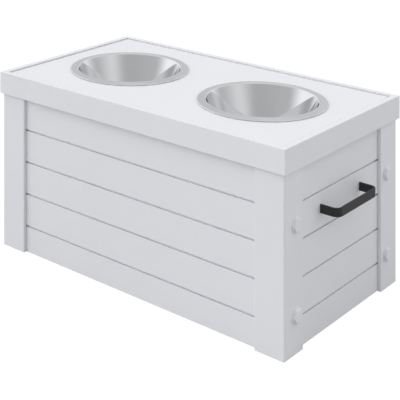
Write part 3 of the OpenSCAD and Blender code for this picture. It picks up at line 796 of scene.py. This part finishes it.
steel_colour = put(steel_group, "ShaderNodeVectorMath",
                   {0: steel_in.outputs["Tint"], "Scale": cloud_level.outputs["Result"]},
                   operation="SCALE")
steel_group.links.new(steel_colour.outputs["Vector"], steel_out.inputs["Color"])
steel_group.links.new(grain_rough.outputs[0], steel_out.inputs["Roughness"])
steel_group.links.new(grain.outputs["Fac"], steel_out.inputs["Height"])
print("steel group:", len(steel_group.nodes), "nodes")


def steel_material(name, tint, roughness, from_uv, bump_mm):
    """Bare metal whose grain comes from the steel group."""
    material = bpy.data.materials.new(name)
    material.use_nodes = True
    tree = material.node_tree
    shader = tree.nodes["Principled BSDF"]
    shader.inputs["Metallic"].default_value = 1.0
    if from_uv:
        place = put(tree, "ShaderNodeUVMap", uv_map="surface").outputs["UV"]
    else:
        place = put(tree, "ShaderNodeTexCoord").outputs["Object"]
    texture = put(tree, "ShaderNodeGroup", node_tree=steel_group)
    tree.links.new(place, texture.inputs["Vector"])
    texture.inputs["Tint"].default_value = (*tint, 1)
    texture.inputs["Roughness"].default_value = roughness
    bump = put(tree, "ShaderNodeBump",
               {"Height": texture.outputs["Height"], "Distance": bump_mm * MM, "Strength": 1.0})
    tree.links.new(texture.outputs["Color"], shader.inputs["Base Color"])
    tree.links.new(texture.outputs["Roughness"], shader.inputs["Roughness"])
    tree.links.new(bump.outputs["Normal"], shader.inputs["Normal"])
    return material


STEEL, ZINC = (0.833, 0.843, 0.86), (0.62, 0.63, 0.65)
bowl_steel = steel_material("bowl_steel", STEEL, roughness=0.02, from_uv=True, bump_mm=0.0001)
fastener_steel = steel_material("fastener_zinc", ZINC, roughness=0.3, from_uv=False, bump_mm=0.01)
print("metals:", bowl_steel.name, "and", fastener_steel.name)

# %% [markdown]
# ## Giving each piece its finish
# Each new piece gets the finish of its kind. What is left of the CAD solids is out of sight, inside
# the chest or under the lid, and its finish follows the slot in the object's record.

# %% Assign materials
for piece in painted:
    piece.data.materials.append(board_paint)
top_panel.data.materials.append(panel_paint)
for piece in steel_pieces:
    piece.data.materials.append(bowl_steel)
for piece in handles:
    piece.data.materials.append(handle_paint)
caps.data.materials.append(cap_plastic)

slot_finish = {"inner_board": inner_paint, "fastener_steel": fastener_steel, "painted_board": panel_paint,
               "cap_plastic": cap_plastic, "handle_paint": handle_paint, "bowl_steel": fastener_steel}
slot_of = {part["node"]: part["material_slot"] for part in frame["record"]["subparts"]}
for name, solid in nodes.items():
    solid.data.materials.clear()
    solid.data.materials.append(slot_finish[slot_of[name]])
print("finished nodes:", len(nodes))

# %% [markdown]
# ## Studio
# Product photographs of steel are made in a room that is built for its reflections. Here it is painted
# on the world: a ring of wall, whose brightness changes with the direction round the object, under a
# bright ceiling. The bowls' far walls mirror the ring at about 20 degrees above level. So the dark
# band in them is the gap behind the camera, and the bright ones are the lit screens to either side.
# Two soft lamps light the paint, one from the left and one from the right. Polished steel would show
# them as glare, so glossy rays miss them, as crossed polarising filters arrange in a real studio.

# %% World
world = bpy.data.worlds.new("studio")
bpy.context.scene.world = world
world.use_nodes = True
sky = world.node_tree
way = put(sky, "ShaderNodeTexCoord").outputs["Generated"]
TO_CAMERA, TO_LEFT = -ahead, -right


def towards(direction):
    """How far the ray points along a direction: the cosine of the angle between them."""
    dot = put(sky, "ShaderNodeVectorMath", {0: way, 1: direction.tolist()}, operation="DOT_PRODUCT")
    return dot.outputs["Value"]


def ramp(value, first, last, stops):
    """Brightness that eases between stops of angle and level, in degrees from first to last."""
    share = put(sky, "ShaderNodeMapRange", {"Value": value, "From Min": np.radians(first),
                                            "From Max": np.radians(last)})
    made = put(sky, "ShaderNodeValToRGB", {"Fac": share.outputs["Result"]})
    made.color_ramp.interpolation = "EASE"
    for angle, _ in stops[2:]:
        made.color_ramp.elements.new((angle - first) / (last - first))
    for point, (angle, level) in zip(made.color_ramp.elements, stops):
        point.position = (angle - first) / (last - first)
        point.color = (level, level, level, 1)
    return made.outputs["Color"]


turn = put(sky, "ShaderNodeMath", {0: towards(TO_LEFT), 1: towards(TO_CAMERA)}, operation="ARCTAN2")
lift = put(sky, "ShaderNodeMath", {0: towards(Z)}, operation="ARCSINE")
SCREENS = [(-180, 0.60), (-120, 0.84), (-87, 0.52), (-44, 0.74), (-5, 0.46), (66, 0.50), (105, 1.0),
           (140, 1.0), (180, 0.60)]  # degrees to the left of the way to the camera, and brightness
WALL_TOP, CEILING_START, CEILING = 26, 38, 0.73
wall = ramp(turn.outputs[0], -180, 180, SCREENS)
above = ramp(lift.outputs[0], 0, 90, [(WALL_TOP, 0.0), (CEILING_START, 1.0)])
room = put(sky, "ShaderNodeMapRange", {"Value": above, "To Min": wall, "To Max": CEILING})


def lamp(turn_left, height, level, full=10, gone=50):
    """A wide soft lamp, at its level within full degrees of its direction and dark beyond gone."""
    turn_angle, lift_angle = np.radians([turn_left, height])
    inner, outer = np.cos(np.radians([full, gone]))
    level_way = np.cos(turn_angle) * TO_CAMERA + np.sin(turn_angle) * TO_LEFT
    lamp_way = np.cos(lift_angle) * level_way + np.sin(lift_angle) * Z
    made = put(sky, "ShaderNodeMapRange", {"Value": towards(lamp_way), "From Min": outer,
                                           "From Max": inner, "To Max": level},
               interpolation_type="SMOOTHSTEP")
    return made.outputs["Result"]


left_lamp = lamp(turn_left=85, height=35, level=1.34)
right_lamp = lamp(turn_left=-90, height=35, level=0.59)
lamps = put(sky, "ShaderNodeMath", {0: left_lamp, 1: right_lamp})
rays = put(sky, "ShaderNodeLightPath")
unmirrored = put(sky, "ShaderNodeMath", {0: 1.0, 1: rays.outputs["Is Glossy Ray"]}, operation="SUBTRACT")
bright = put(sky, "ShaderNodeMath", {0: lamps.outputs[0], 1: unmirrored.outputs[0],
                                     2: room.outputs["Result"]}, operation="MULTIPLY_ADD")
lit = sky.nodes["Background"]
sky.links.new(bright.outputs[0], lit.inputs["Color"])
white = put(sky, "ShaderNodeBackground", {"Color": (1, 1, 1, 1), "Strength": 1.0})
chosen = put(sky, "ShaderNodeMixShader", {0: rays.outputs["Is Camera Ray"], 1: lit.outputs[0],
                                          2: white.outputs[0]})
sky.links.new(chosen.outputs[0], sky.nodes["World Output"].inputs["Surface"])
print("room:", len(SCREENS), "stops round the wall,", len(sky.nodes), "nodes")

# %% [markdown]
# ## Floor
# The object stands on a wide pale floor that gives back light to the undersides. What the camera sees
# of it is lifted to white, as a studio's lit background is, with a trace of the object's shadow left.

# %% Floor
FLOOR_R = 30.0
FLOOR_GREY, FLOOR_ROUGH, GLOW, GLOW_SHARE = 0.5, 0.7, 1.14, 0.85
floor_angle = np.linspace(0, 2 * np.pi, 64, endpoint=False)
floor_ring = FLOOR_R * np.column_stack([np.cos(floor_angle), np.sin(floor_angle), 0 * floor_angle])
floor_mesh = bpy.data.meshes.new("floor")
floor_mesh.from_pydata(floor_ring.tolist(), [], [list(range(len(floor_ring)))])
floor = bpy.data.objects.new("floor", floor_mesh)
bpy.context.scene.collection.objects.link(floor)

floor_material = bpy.data.materials.new("floor_white")
floor_material.use_nodes = True
tree = floor_material.node_tree
plain = tree.nodes["Principled BSDF"]
plain.inputs["Base Color"].default_value = (FLOOR_GREY, FLOOR_GREY, FLOOR_GREY, 1)
plain.inputs["Roughness"].default_value = FLOOR_ROUGH
glow = put(tree, "ShaderNodeEmission", {"Color": (1, 1, 1, 1), "Strength": GLOW})
path = put(tree, "ShaderNodeLightPath")
seen = put(tree, "ShaderNodeMath", {0: path.outputs["Is Camera Ray"], 1: GLOW_SHARE},
           operation="MULTIPLY")
blend = put(tree, "ShaderNodeMixShader", {0: seen.outputs[0], 1: plain.outputs[0], 2: glow.outputs[0]})
tree.links.new(blend.outputs[0], tree.nodes["Material Output"].inputs["Surface"])
floor_mesh.materials.append(floor_material)
print("floor:", 2 * FLOOR_R, "m wide")

# %% [markdown]
# ## Colour view
# The Standard view shows each colour as it was written.

# %% Finish
bpy.context.scene.view_settings.view_transform = "Standard"
